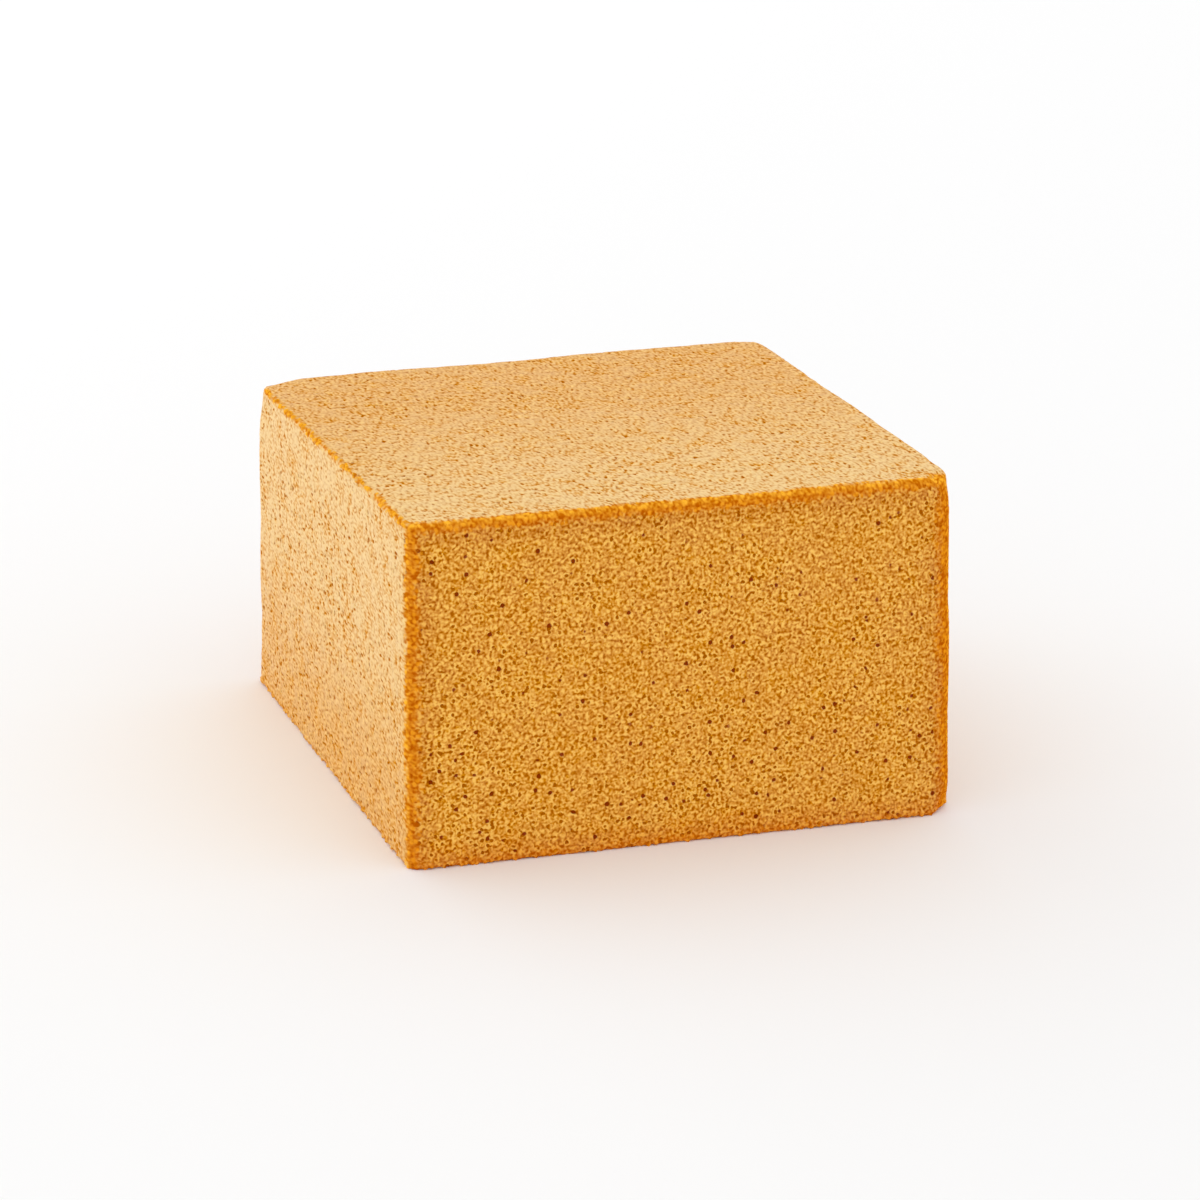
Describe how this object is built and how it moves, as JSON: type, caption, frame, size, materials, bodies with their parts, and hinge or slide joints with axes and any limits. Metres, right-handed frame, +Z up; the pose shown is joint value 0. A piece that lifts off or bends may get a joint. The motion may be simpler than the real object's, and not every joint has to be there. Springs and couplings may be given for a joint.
{
  "type": "mud cake",
  "caption": "Uncut square block of golden, caramel-coloured mud cake without icing: fine open crumb, flat trimmed faces, softly rounded edges with a deeper amber rim.",
  "frame": {"origin": "middle of the base of the cake's box", "axes": "+Z up, +X to the right along the front face, -Y out of the front face"},
  "size_m": [0.1546, 0.152, 0.0935],
  "materials": {
    "crumb": "baked cake crumb: golden caramel, matte, fine open pores with darker amber bottoms, deeper orange along the edges"
  },
  "bodies": {
    "root": {"cake": "crumb"}
  },
  "joints": []
}
